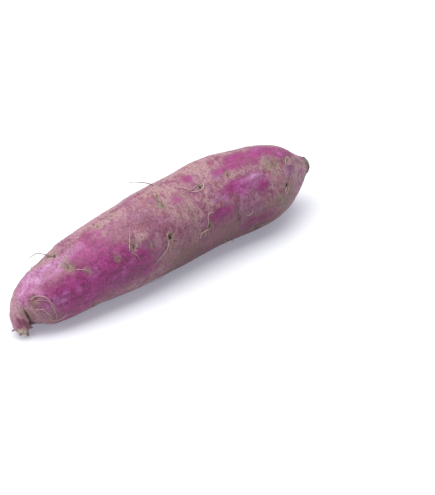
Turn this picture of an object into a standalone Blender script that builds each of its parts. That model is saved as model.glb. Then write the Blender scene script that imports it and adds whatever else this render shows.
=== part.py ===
"""A whole purple-skinned sweet potato, as picked, lying on its flattest side.

Metres, +Z up. X runs along the tuber, from the hooked root tail (-X) to the stem scar (+X), and -Y is the
near side. The origin is the middle of the tuber's box, on the surface that it lies on.

The tuber grew as one piece, so it is one solid: rings swept along a gently bent spine, with soft swellings,
root scars and the crease of its tail pressed in by formula, and the broken stubs of its roots fused on.
"""

import math

import bmesh
import bpy
import numpy as np
from mathutils import Matrix, Vector, noise

MM = 0.001

# The spine, from the broken root tail to the stem scar: how far along, how far to the far side, how high
# the underside stands above the surface, and the radius of the tuber there, all in millimetres.
SPINE = (
    (-119.6, -8.8, 2.5, 3.9),
    (-118.2, -6.0, 1.6, 6.6),
    (-116.0, -3.2, 1.4, 9.0),
    (-112.2, -1.0, 0.9, 12.6),
    (-106.4, -0.4, 0.4, 16.4),
    (-98.0, -0.6, 0.2, 19.2),
    (-87.0, -0.6, 0.2, 21.2),
    (-72.0, 0.0, 0.4, 23.6),
    (-52.0, 1.6, 0.4, 25.8),
    (-28.0, 3.8, 0.3, 28.2),
    (-2.0, 6.0, 0.0, 29.2),
    (24.0, 8.0, 0.1, 29.4),
    (48.0, 8.0, 0.4, 28.8),
    (68.0, 6.8, 1.3, 28.2),
    (83.0, 6.4, 3.3, 26.6),
    (96.0, 6.2, 7.8, 21.8),
    (105.5, 5.8, 14.8, 14.6),
    (113.0, 5.4, 21.8, 8.0),
    (119.0, 5.2, 25.4, 3.9),
)
SIDES = 52
# Rings stand this share of a side's length apart, within these limits.
RING_SHARE, RING_LEAST, RING_MOST = 0.86, 1.4 * MM, 2.9 * MM

# Soft lobes round the tuber: how many, their height as a share of the radius, and their twist in turns.
LOBES = ((2, 0.014, 0.10), (3, 0.012, -0.16), (5, 0.006, 0.22))
LUMP_SIZE, LUMP_HEIGHT = 34 * MM, 0.9 * MM
DENT_SIZE, DENT_HEIGHT = 13 * MM, 0.35 * MM

# Places on the skin are given as millimetres along the spine from the tail's tip, and degrees round it
# from the top towards the near side.
# Swellings and hollows: along, round, how far they spread, and their height in millimetres.
SWELLS = (
    (4.0, 82.0, 6.0, -2.8),
    (40.0, -35.0, 8.0, -1.3),
    (55.0, -32.0, 9.0, 1.0),
    (60.0, 138.0, 14.0, -1.5),
    (104.0, -44.0, 20.0, -0.8),
    (140.0, -44.0, 16.0, -0.5),
    (176.0, -44.0, 16.0, 1.5),
    (222.0, -40.0, 14.0, -0.8),
    (228.0, -16.0, 9.0, 1.2),
    (156.0, 136.0, 18.0, -1.2),
)

# Root scars: along, round, and their size. The far side and the underside carry theirs in loose rows.
SCARS = (
    (36.8, -45.0, 0.8),
    (45.7, -22.0, 1.2),
    (45.7, 22.3, 0.9),
    (73.0, 52.6, 0.7),
    (78.5, -11.2, 0.8),
    (86.8, 50.5, 1.0),
    (98.2, 61.5, 0.7),
    (112.6, 63.5, 1.2),
    (121.3, 2.9, 0.8),
    (131.0, -28.0, 0.9),
    (144.5, 76.7, 1.1),
    (150.2, 21.4, 1.1),
    (173.4, 22.0, 0.9),
    (210.6, 33.3, 0.8),
    (213.3, 71.8, 1.2),
    (220.8, 29.7, 0.9),
    (232.6, 79.6, 0.9),
)
HIDDEN_ROWS = (-62.0, -104.0, -146.0, 168.0, 126.0)
ROW_START, ROW_STEP, ROW_COUNT = 30.0, 27.0, 8
GOLDEN = 0.618034
SCAR_ALONG, SCAR_ROUND, SCAR_DEPTH = 2.6 * MM, 4.4 * MM, 1.5 * MM
SCAR_RIM, RIM_SPREAD = 0.30, 3.2

# The crease where the tail hooks round: it runs from the top of the hook down its inner side.
CREASE_TOP, CREASE_LOW = (14.5, 8.0), (6.8, 46.0)
CREASE_DEPTH, CREASE_HALF = 2.4 * MM, 1.8 * MM

# The dried stem scar stands out as a small ragged collar.
COLLAR_BACK, COLLAR_HALF, COLLAR_HEIGHT = 2.2 * MM, 1.2 * MM, 0.6 * MM
CAP_SHARE, CAP_RISE = 0.55, 0.5 * MM

# Broken root stubs: along, round, how far out from the spine as a share of the radius, their lean towards
# the tip in degrees, their length and their radius in millimetres.
STUBS = (
    (1.2, 20.0, 0.45, 78.0, 3.2, 1.3),
    (1.6, 142.0, 0.55, 66.0, 3.8, 1.4),
    (1.2, -120.0, 0.45, 74.0, 3.2, 1.2),
    (4.6, 96.0, 0.50, 40.0, 3.2, 1.1),
    (3.0, -96.0, 0.85, 34.0, 3.0, 0.9),
)
STUB_SIDES, STUB_TAPER = 8, 0.62

# The underside is pressed flat by this much where it bears on the surface.
FLAT_DEPTH, FLAT_EASE = 1.3 * MM, 0.5 * MM

SKIN = (0.42, 0.13, 0.27, 1.0)


def clear_scene():
    for obj in list(bpy.data.objects):
        bpy.data.objects.remove(obj)


def spine_curve(at):
    """The spine at shares 0 to 1 of its control points: centres and radii (uniform cubic B-spline)."""
    table = np.array(SPINE) * MM
    table[:, 2] += table[:, 3]
    table = np.vstack([2 * table[0] - table[1], table, 2 * table[-1] - table[-2]])
    place = np.asarray(at, float) * (len(table) - 3)
    i = np.clip(place.astype(int), 0, len(table) - 4)
    u = (place - i)[:, None]
    points = (
        (1 - u) ** 3 * table[i]
        + (3 * u**3 - 6 * u**2 + 4) * table[i + 1]
        + (-3 * u**3 + 3 * u**2 + 3 * u + 1) * table[i + 2]
        + u**3 * table[i + 3]
    ) / 6
    return points[:, :3], points[:, 3]


def ring_places():
    """Shares and lengths along the spine of the rings: close where it is thin, wider apart on its body."""
    shares = np.linspace(0.0, 1.0, 2000)
    centres, radii = spine_curve(shares)
    lengths = np.concatenate([[0.0], np.cumsum(np.linalg.norm(np.diff(centres, axis=0), axis=1))])
    gaps = np.clip(math.tau * radii / SIDES * RING_SHARE, RING_LEAST, RING_MOST)
    count = np.concatenate([[0.0], np.cumsum(np.diff(lengths) / gaps[1:])])
    wanted = np.linspace(0.0, count[-1], int(round(count[-1])) + 1)
    return np.interp(wanted, count, shares), np.interp(wanted, count, lengths)


def ring_frames(shares, lengths):
    """At each ring the centre, the radius, and the directions up and near that span it."""
    centres, radii = spine_curve(shares)
    tangents = np.gradient(centres, lengths, axis=0)
    tangents /= np.linalg.norm(tangents, axis=1, keepdims=True)
    near = np.cross(tangents, [0.0, 0.0, 1.0])
    near /= np.linalg.norm(near, axis=1, keepdims=True)
    up = np.cross(near, tangents)
    return centres, radii, up, near


def turned(angles, degrees):
    """How far the angles are turned from a place round the tuber, within half a turn either way."""
    return (angles - math.radians(degrees) + math.pi) % math.tau - math.pi


def lobe_share(share, angles):
    """The soft lobes, as a share of the radius, at a share of the length."""
    total = np.zeros_like(angles)
    for count, height, twist in LOBES:
        total += height * np.cos(count * (angles - math.tau * twist * share) + count)
    return total


def swell_height(length, angles, radius):
    total = np.zeros_like(angles)
    for along, degrees, spread, height in SWELLS:
        across = radius * turned(angles, degrees)
        apart = (length - along * MM) ** 2 + across**2
        total += height * MM * np.exp(-apart / (spread * MM) ** 2)
    return total


def all_scars():
    """The root scars of the near side, then the rows of the far side and the underside."""
    scars = list(SCARS)
    for row, degrees in enumerate(HIDDEN_ROWS):
        for step in range(ROW_COUNT):
            loose = (GOLDEN * (row * ROW_COUNT + step + 1)) % 1.0 - 0.5
            along = ROW_START + ROW_STEP * (step + (row % 2) / 2 + 0.4 * loose)
            scars.append((along, degrees + 16.0 * loose, 0.9 - 0.4 * loose))
    return scars


def scar_depth(length, angles, radius):
    total = np.zeros_like(angles)
    for along, degrees, size in all_scars():
        across = radius * turned(angles, degrees)
        apart = ((length - along * MM) / (SCAR_ALONG * size)) ** 2 + (across / (SCAR_ROUND * size)) ** 2
        pit = np.exp(-apart) - SCAR_RIM * np.exp(-apart / RIM_SPREAD)
        total += SCAR_DEPTH * size * pit
    return total


def crease_depth(length, angles):
    """The crease grows deeper from the top of the hook to its inner side, then fades out underneath."""
    (top_along, top_round), (low_along, low_round) = CREASE_TOP, CREASE_LOW
    down = turned(angles, top_round) / math.radians(low_round - top_round)
    line = (top_along + (low_along - top_along) * np.clip(down, 0.0, 1.0)) * MM
    deep = np.clip(down, 0.0, 1.0) * np.clip(4.4 - down, 0.0, 1.0)
    return CREASE_DEPTH * deep * np.exp(-(((length - line) / CREASE_HALF) ** 2))


def collar_height(length, whole, angles):
    """The ragged collar of the stem scar, close to the far end of the spine."""
    along = np.exp(-(((whole - length - COLLAR_BACK) / COLLAR_HALF) ** 2))
    return COLLAR_HEIGHT * along * (1 + 0.3 * np.cos(7 * angles) + 0.2 * np.cos(4 * angles + 1))


def lumps(point):
    """Low, irregular swellings and dents of the skin at a point."""
    broad = noise.noise(Vector(point) / LUMP_SIZE)
    fine = noise.noise(Vector(point) / DENT_SIZE + Vector((7.0, 3.0, 5.0)))
    return broad * LUMP_HEIGHT + fine * DENT_HEIGHT


def ring_points(length, whole, centre, radius, up, near):
    """One ring of the skin, SIDES points round the spine."""
    angles = np.arange(SIDES) * math.tau / SIDES
    outward = np.outer(np.cos(angles), up) + np.outer(np.sin(angles), near)
    reach = radius * (1 + lobe_share(length / whole, angles))
    calm = min(1.0, radius / (20 * MM))
    bare = centre + outward * reach[:, None]
    relief = np.array([lumps(point) for point in bare]) * calm
    relief += swell_height(length, angles, radius)
    relief -= scar_depth(length, angles, radius) * calm
    relief -= crease_depth(length, angles)
    relief += collar_height(length, whole, angles)
    return bare + outward * relief[:, None]


def tuber_rings():
    """All rings from the tail's tip to the stem scar, with a smaller one beyond each end."""
    shares, lengths = ring_places()
    centres, radii, up, near = ring_frames(shares, lengths)
    rings = []
    for i in range(len(lengths)):
        rings.append(ring_points(lengths[i], lengths[-1], centres[i], radii[i], up[i], near[i]))
    rings.insert(0, capping_ring(rings[0], np.cross(near[0], up[0])))
    rings.append(capping_ring(rings[-1], np.cross(up[-1], near[-1])))
    return np.array(rings)


def capping_ring(ring, outward):
    """A smaller ring just beyond an end ring, so that the end is gently domed."""
    middle = ring.mean(axis=0)
    return middle + (ring - middle) * CAP_SHARE + outward * CAP_RISE


def press_flat(points):
    """Lowers the tuber onto the surface and presses its underside flat, with a soft edge."""
    points = points.copy()
    z = points[..., 2] - FLAT_DEPTH
    eased = (z + FLAT_EASE) ** 2 / (4 * FLAT_EASE)
    points[..., 2] = np.where(z < -FLAT_EASE, 0.0, np.where(z < FLAT_EASE, eased, z))
    return points


def skin_mesh(rings):
    """One closed mesh over the rings, fanned to a middle point on each end."""
    mesh = bmesh.new()
    loops = [[mesh.verts.new(p) for p in ring] for ring in rings]
    first = mesh.verts.new(rings[0].mean(axis=0))
    last = mesh.verts.new(rings[-1].mean(axis=0))
    for j in range(SIDES):
        k = (j + 1) % SIDES
        mesh.faces.new((first, loops[0][k], loops[0][j]))
        mesh.faces.new((last, loops[-1][j], loops[-1][k]))
        for low, high in zip(loops, loops[1:]):
            mesh.faces.new((low[j], low[k], high[k], high[j]))
    bmesh.ops.recalc_face_normals(mesh, faces=mesh.faces)
    bmesh.ops.triangulate(mesh, faces=mesh.faces)
    return mesh


def add_object(name, mesh):
    data = bpy.data.meshes.new(name)
    mesh.to_mesh(data)
    mesh.free()
    obj = bpy.data.objects.new(name, data)
    bpy.context.scene.collection.objects.link(obj)
    return obj


def stub_mesh(base, direction, length, radius):
    """A short tapering peg from its base along a direction."""
    mesh = bmesh.new()
    stand = Vector(direction).to_track_quat("Z", "Y").to_matrix().to_4x4()
    middle = Matrix.Translation(Vector(base + direction * length / 2)) @ stand
    bmesh.ops.create_cone(
        mesh,
        cap_ends=True,
        segments=STUB_SIDES,
        radius1=radius,
        radius2=radius * STUB_TAPER,
        depth=length,
        matrix=middle,
    )
    return mesh


def root_stubs():
    """The broken root stubs of the tail as separate pegs, each sunk into the tail by its base."""
    shares, lengths = ring_places()
    centres, radii, up, near = ring_frames(shares, lengths)
    stubs = []
    for number, (along, degrees, out, lean, length, radius) in enumerate(STUBS):
        i = int(np.argmin(abs(lengths - along * MM)))
        turn, lean = math.radians(degrees), math.radians(lean)
        outward = up[i] * math.cos(turn) + near[i] * math.sin(turn)
        tipward = np.cross(near[i], up[i])
        base = centres[i] + outward * radii[i] * out - np.array([0.0, 0.0, FLAT_DEPTH])
        direction = outward * math.cos(lean) + tipward * math.sin(lean)
        stubs.append(add_object(f"stub_{number}", stub_mesh(base, direction, length * MM, radius * MM)))
    return stubs


def fuse(body, pieces):
    """Unites the pieces with the body into one solid."""
    for piece in pieces:
        union = body.modifiers.new(piece.name, "BOOLEAN")
        union.operation = "UNION"
        union.solver = "EXACT"
        union.object = piece
    fused = bpy.data.meshes.new_from_object(body.evaluated_get(bpy.context.evaluated_depsgraph_get()))
    body.modifiers.clear()
    body.data = fused
    for piece in pieces:
        bpy.data.objects.remove(piece)


def centre_box(obj):
    """Moves the mesh so that the middle of its box stands over the origin."""
    spots = np.array([v.co for v in obj.data.vertices])
    middle = (spots.min(axis=0) + spots.max(axis=0)) / 2
    obj.data.transform(Matrix.Translation((-middle[0], -middle[1], 0.0)))


def skin_material():
    material = bpy.data.materials.new("skin")
    material.use_nodes = True
    shader = material.node_tree.nodes["Principled BSDF"]
    shader.inputs["Base Color"].default_value = SKIN
    shader.inputs["Roughness"].default_value = 0.55
    shader.inputs["Metallic"].default_value = 0.0
    return material


def build_tuber():
    tuber = add_object("tuber", skin_mesh(press_flat(tuber_rings())))
    fuse(tuber, root_stubs())
    centre_box(tuber)
    tuber.data.shade_smooth()
    tuber.data.materials.clear()
    tuber.data.materials.append(skin_material())


clear_scene()
build_tuber()
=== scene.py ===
"""The looks of a whole purple-skinned sweet potato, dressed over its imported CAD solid.

The fine skin is swept along the same spine, with the same swellings and root scars, as the solid. Lengths are
metres unless a name or comment says millimetres. Places on the skin are (along, round): millimetres along the
spine from the tip of the tail, and degrees round it from the top towards the near side.
"""

import math
import random

import bpy
import numpy as np
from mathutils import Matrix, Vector, noise


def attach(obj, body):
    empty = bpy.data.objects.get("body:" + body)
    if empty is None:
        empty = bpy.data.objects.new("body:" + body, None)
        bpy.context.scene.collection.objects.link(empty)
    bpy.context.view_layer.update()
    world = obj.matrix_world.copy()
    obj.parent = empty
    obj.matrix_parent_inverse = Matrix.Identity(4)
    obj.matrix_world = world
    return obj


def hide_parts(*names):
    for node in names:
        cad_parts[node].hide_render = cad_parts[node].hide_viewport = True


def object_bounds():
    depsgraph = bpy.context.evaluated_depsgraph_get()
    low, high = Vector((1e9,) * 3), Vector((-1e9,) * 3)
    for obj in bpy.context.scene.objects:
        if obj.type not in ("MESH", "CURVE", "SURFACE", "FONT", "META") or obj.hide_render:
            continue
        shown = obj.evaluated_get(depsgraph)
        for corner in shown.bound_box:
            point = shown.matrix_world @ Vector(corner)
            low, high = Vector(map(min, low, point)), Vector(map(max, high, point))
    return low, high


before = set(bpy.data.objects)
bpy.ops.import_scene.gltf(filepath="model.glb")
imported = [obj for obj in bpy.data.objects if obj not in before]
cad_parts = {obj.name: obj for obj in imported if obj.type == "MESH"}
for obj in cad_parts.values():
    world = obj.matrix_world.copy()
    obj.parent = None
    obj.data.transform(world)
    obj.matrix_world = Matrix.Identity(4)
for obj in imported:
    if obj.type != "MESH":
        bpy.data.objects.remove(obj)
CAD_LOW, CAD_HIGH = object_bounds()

MM = 0.001

# The solid's own shape, as its source has it.
# Spine: how far along, how far to the far side, how high the underside stands, and the radius there, in mm.
SPINE = (
    (-119.6, -8.8, 2.5, 3.9),
    (-118.2, -6.0, 1.6, 6.6),
    (-116.0, -3.2, 1.4, 9.0),
    (-112.2, -1.0, 0.9, 12.6),
    (-106.4, -0.4, 0.4, 16.4),
    (-98.0, -0.6, 0.2, 19.2),
    (-87.0, -0.6, 0.2, 21.2),
    (-72.0, 0.0, 0.4, 23.6),
    (-52.0, 1.6, 0.4, 25.8),
    (-28.0, 3.8, 0.3, 28.2),
    (-2.0, 6.0, 0.0, 29.2),
    (24.0, 8.0, 0.1, 29.4),
    (48.0, 8.0, 0.4, 28.8),
    (68.0, 6.8, 1.3, 28.2),
    (83.0, 6.4, 3.3, 26.6),
    (96.0, 6.2, 7.8, 21.8),
    (105.5, 5.8, 14.8, 14.6),
    (113.0, 5.4, 21.8, 8.0),
    (119.0, 5.2, 25.4, 3.9),
)
LOBES = ((2, 0.014, 0.10), (3, 0.012, -0.16), (5, 0.006, 0.22))
LUMP_SIZE, LUMP_HEIGHT = 34 * MM, 0.9 * MM
DENT_SIZE, DENT_HEIGHT = 13 * MM, 0.35 * MM
# Swellings and hollows: along, round, how far they spread, and their height in millimetres.
SWELLS = (
    (4, 82, 6, -2.8),
    (40, -35, 8, -1.3),
    (55, -32, 9, 1),
    (60, 138, 14, -1.5),
    (104, -44, 20, -0.8),
    (140, -44, 16, -0.5),
    (176, -44, 16, 1.5),
    (222, -40, 14, -0.8),
    (228, -16, 9, 1.2),
    (156, 136, 18, -1.2),
)
# Root scars: along, round, their size, and how dark they are.
SCARS = (
    (36.8, -45, 0.8, 0.5),
    (45.7, -22, 1.2, 0.9),
    (45.7, 22.3, 0.9, 0.35),
    (73, 52.6, 0.7, 0.3),
    (78.5, -11.2, 0.8, 0.6),
    (86.8, 50.5, 1, 0.85),
    (98.2, 61.5, 0.7, 0.25),
    (112.6, 63.5, 1.2, 1),
    (121.3, 2.9, 0.8, 0.6),
    (131, -28, 0.9, 0.4),
    (144.5, 76.7, 1.1, 0.9),
    (150.2, 21.4, 1.1, 0.95),
    (173.4, 22, 0.9, 0.7),
    (210.6, 33.3, 0.8, 0.4),
    (213.3, 71.8, 1.2, 0.9),
    (220.8, 29.7, 0.9, 0.6),
    (232.6, 79.6, 0.9, 0.4),
)
HIDDEN_ROWS = (-62.0, -104.0, -146.0, 168.0, 126.0)
ROW_START, ROW_STEP, ROW_COUNT = 30.0, 27.0, 8
GOLDEN = 0.618034
SCAR_ALONG, SCAR_ROUND, SCAR_DEPTH = 2.6 * MM, 4.4 * MM, 1.5 * MM
SCAR_RIM, RIM_SPREAD = 0.30, 3.2
SLIT_DEPTH, SLIT_ALONG, SLIT_ROUND = 1.1 * MM, 0.8, 1.9
# How far the painted edges of a scar wander, in millimetres.
SCAR_WOBBLE = 2.6
CREASE_TOP, CREASE_LOW = (14.5, 8.0), (6.8, 46.0)
CREASE_DEPTH, CREASE_HALF = 2.4 * MM, 1.8 * MM
COLLAR_BACK, COLLAR_HALF, COLLAR_HEIGHT = 2.2 * MM, 1.2 * MM, 0.6 * MM
FLAT_DEPTH, FLAT_EASE = 1.3 * MM, 0.5 * MM
# The solid's source moves the tuber by this much, to bring the middle of its box over the origin.
CENTRING = np.array([2.99, -6.62, 0.0]) * MM

# Broken root stubs: along, round, how far out as a share of the radius, lean towards the tip in degrees,
# length and radius in millimetres.
STUBS = (
    (1.2, 20, 0.45, 78, 3.2, 1.3),
    (1.6, 142, 0.55, 66, 3.8, 1.4),
    (1.2, -120, 0.45, 74, 3.2, 1.2),
    (4.6, 96, 0.50, 40, 3.2, 1.1),
    (3, -96, 0.85, 34, 3, 0.9),
)

# The fine skin's grid: points round each ring, and rings.
SIDES, RINGS = 240, 404
# Points round a rootlet and round a stub, and a stub's rings.
ROOTLET_SIDES, STUB_SIDES, STUB_RINGS = 6, 14, 9
# The smaller rings that close each end, as shares of its last ring, and how far they stand out: the tail is
# domed, and the stem scar is a little hollow.
CAP_SHARES = (0.82, 0.55, 0.28)
TAIL_RISES = (0.35 * MM, 0.5 * MM, 0.6 * MM)
STEM_RISES = (0.35 * MM, 0.1 * MM, -0.3 * MM)

# Paint: along, round, reach along and reach round in millimetres, and strength.
MAGENTA = (
    (56, 56, 24, 19, 1),
    (62, 22, 12, 8, 0.8),
    (42, 88, 15, 11, 0.9),
    (33, 60, 9, 8, 0.8),
    (24, 62, 7, 6, 0.6),
    (84, 66, 11, 9, 0.8),
    (67, -3, 9, 6, 0.6),
    (77, 46, 6, 5, 0.7),
    (94, 76, 9, 7, 0.4),
    (74, 84, 9, 7, 0.8),
    (146.5, 3.5, 4.5, 4, 0.75),
    (129, 23, 6, 6.5, 0.45),
    (106, 53, 7, 5.5, 0.25),
    (109, -23, 13, 4, 0.5),
    (205, 3, 17, 6, 0.8),
    (187, -3, 10, 7, 0.7),
    (219, 14, 5, 5, 0.6),
    (168, 14, 6, 4, 0.8),
    (181, 9, 10, 6, 0.8),
    (177, 42, 18, 6.5, 0.95),
    (195, 54, 6, 7, 0.8),
    (156, 66, 13, 5, 0.95),
    (207, 56, 5, 5, 0.4),
    (187, 102, 16, 6, 1),
    (23, 2, 4, 5, 0.8),
    (17, -6, 4, 5, 0.6),
    (17, 16, 3, 4, 0.7),
    (28, 30, 4, 5, 0.9),
    (32, 46, 6, 6, 0.5),
    (96, 90, 8, 5, 0.6),
    (198, 16, 7, 4, 0.5),
    (149, 104, 10, 6, 0.7),
    (118, 84, 10, 7, 0.3),
    (159, 80, 11, 4, 0.4),
    (88, 90, 8, 5, 0.6),
)
TAN = (
    (158, -8, 9, 6, 0.9),
    (203, 27, 6, 6, 0.8),
    (204, 88, 9, 9, 0.6),
    (121, -8, 8, 7, 0.7),
    (78, -13, 4, 6, 0.8),
    (112, 71, 4, 7, 0.6),
    (135, 45, 3.5, 15, 0.4),
    (36.8, -40, 7, 6, 0.8),
    (44, -26, 5, 5, 0.8),
    (45, 21, 3, 6, 0.8),
    (73, 51, 4, 5.5, 0.8),
    (120, 14, 3, 7, 0.8),
    (46.5, 20, 4.5, 9, 1),
    (54, 45, 4.2, 5, 1),
    (19, 37, 3.5, 4.5, 0.6),
    (216, -24, 10, 4, 0.7),
    (126, 97, 16, 8, 0.5),
    (103, 94, 12, 7, 0.5),
    (232, 50, 7, 20, 0.5),
    (237, -10, 8, 24, 0.7),
    (120, -40, 70, 8, 0.9),
    (11, -38, 6, 5, 0.8),
    (12.5, 22, 4, 7, 0.8),
    (29, -56, 15, 5, 0.9),
    (222, 98, 12, 12, 0.7),
    (175, 22, 6, 3.5, 0.7),
    (218, 74, 4, 6, 0.6),
    (215, 40, 5, 7, 0.4),
    (207, 54, 8, 6, 0.6),
    (221, 64, 6, 7, 0.6),
    (11, 18, 3, 5, 0.6),
    (58, 52, 5, 5, 0.5),
    (160, 3, 5, 5, 0.6),
    (150, 42, 6, 5, 0.5),
    (129, 2, 6, 6, 0.6),
    (86, -12, 8, 5, 0.5),
    (90, 44, 5, 5, 0.6),
)
OLIVE = (
    (46, 19, 4.5, 9, 1),
    (73, 51, 4, 5.5, 0.8),
    (19, 37, 3.5, 4.5, 0.7),
    (119, 16, 2.5, 7, 1),
    (11, 14, 3.5, 5, 0.7),
    (54, 45, 3.5, 4, 1),
    (8, 40, 3.5, 6, 0.6),
    (30, -52, 12, 4, 0.7),
    (83, 57, 4, 5, 0.6),
    (133, 50, 3, 14, 0.5),
    (112, 76, 4, 6, 0.6),
    (208, 30, 7, 6, 1),
    (210, 90, 12, 9, 0.9),
    (232, 20, 9, 18, 0.25),
    (126, 100, 15, 8, 0.6),
    (160, 96, 10, 7, 0.5),
    (197, 97, 6, 6, 0.5),
    (112, 21, 8, 7, 0.6),
    (112, 2, 7, 6, 0.4),
)
VIOLET = (
    (222, 46, 5, 5, 0.8),
    (217, 52, 4, 4, 0.5),
    (228, 62, 4, 5, 0.5),
    (163, 16, 4, 4, 0.5),
    (94, 56, 5, 4, 0.5),
    (105, 38, 9, 8, 0.35),
    (72, 86, 12, 8, 0.5),
    (196, 34, 5, 5, 0.3),
)
# Lilac patches, partly lilac skin and partly a painted highlight: the narrow streaks at 186 and 192 along and
# the strongest patches of the tail are painted sheen.
LILAC_AND_HIGHLIGHT = (
    (42, 4, 12, 7, 0.85),
    (30, 2, 8, 6, 0.9),
    (19, -10, 6, 6, 1),
    (57, 0, 9, 7, 0.6),
    (34, -16, 9, 6, 0.6),
    (12, -14, 6, 8, 0.6),
    (186, 36.5, 8, 1.7, 1),
    (192, 36, 6, 1.6, 1),
    (157, 47, 10, 5, 0.6),
    (180, 56, 14, 9, 0.45),
    (178, 66, 9, 5, 0.45),
    (184, 80, 9, 5, 0.45),
    (196, 88, 8, 4, 0.4),
    (25, 18, 5, 6, 0.7),
    (32, 64, 6, 5, 0.75),
    (22, 72, 6, 6, 0.75),
    (58, 50, 5, 4, 0.7),
    (188, 41, 10, 5, 0.7),
    (83, 66, 5, 4, 0.5),
    (16, 12, 3.5, 4, 0.6),
    (44, -6, 8, 6, 0.5),
    (146, 20, 6, 4, 0.3),
    (25, -24, 8, 7, 0.9),
    (26, 48, 6, 5, 0.5),
    (15, 30, 4, 5, 0.6),
    (72, 72, 6, 4, 0.3),
    (90, -30, 20, 5, 0.4),
)
BROWN = (
    (19.5, 36, 3.5, 4, 0.8),
    (10.5, 34, 3, 5, 0.9),
    (43, -32, 4, 3, 0.8),
    (19, 72, 8, 9, 0.35),
    (8, 44, 3, 6, 0.6),
    (23, 100, 9, 9, 0.6),
    (112, 66, 4, 5, 0.4),
    (160, 92, 16, 8, 0.5),
    (198, 90, 9, 8, 0.4),
    (226, 84, 9, 9, 0.4),
    # These three patches along the lower near side paint shade as brown.
    (146, 101, 11, 6, 0.7),
    (126, 98, 11, 6, 0.7),
    (107, 93, 9, 5, 0.6),
)
PLUM = (
    (4.2, -14, 2.6, 5, 0.9),
    (3.4, 40, 2.4, 4, 0.7),
    # The dark band along the lower near side is partly dark skin and partly painted shade.
    (187, 102, 15, 4, 1),
    (150, 108, 9, 5, 0.6),
    (62, 70, 9, 4, 0.4),
    (78, 90, 10, 5, 0.6),
    (20, 27, 3, 4, 1),
    (210, 74, 9, 3, 0.5),
    (104, 28, 8, 6, 0.7),
    (54, 30, 8, 8, 0.35),
    (93, 22, 6, 5, 0.4),
    (193, 28, 6, 4, 0.35),
    (86, 20, 8, 6, 0.45),
    (76, 30, 7, 6, 0.3),
    (101, 5, 7, 5, 0.45),
    (116, 4, 6, 4, 0.25),
    (198, 14, 6, 4, 0.3),
    (212, 28, 6, 5, 0.45),
    (48, 33, 6, 5, 0.45),
    (60, 33, 14, 7, 0.25),
)
# Thin grooves round the girth: along, from round to round, and depth in millimetres.
GROOVES = (
    (45.6, 10, 34, 0.5),
    (48.4, 14, 30, 0.4),
    (119, 4, 28, 0.9),
    (134, 26, 62, 0.4),
    (170.5, 66, 98, 1),
    (60, 150, 200, 0.4),
    (98, 196, 250, 0.4),
    (152, 210, 262, 0.4),
    (190, 164, 214, 0.4),
)
GROOVE_HALF, GROOVE_DEEP = 0.9 * MM, 0.5 * MM
# How far the wrinkled and rosy tail, its torn tip, the wrinkled neck and the bark of the stem scar reach.
TAIL_REACH, TIP_REACH, NECK_REACH, STEM_REACH = 34 * MM, 2.0 * MM, 30 * MM, 7.5 * MM
# How far wide patches are bent out of shape, and the reach from which they are, in mm.
PATCH_WARP, WARP_REACH = 3.5, 9.0
# Where the painted shade of the underside, a darker and browner tint, starts, and over how much it sets in,
# in radians down from the top; and where it ends towards the tail and towards the stem, and over how much it
# fades there, in millimetres along.
UNDER_FROM, UNDER_EASE = 0.9, 1.2
UNDER_TAILWARD, UNDER_STEMWARD = 78, 225
UNDER_TAIL_EASE, UNDER_STEM_EASE = 48, 30

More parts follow.
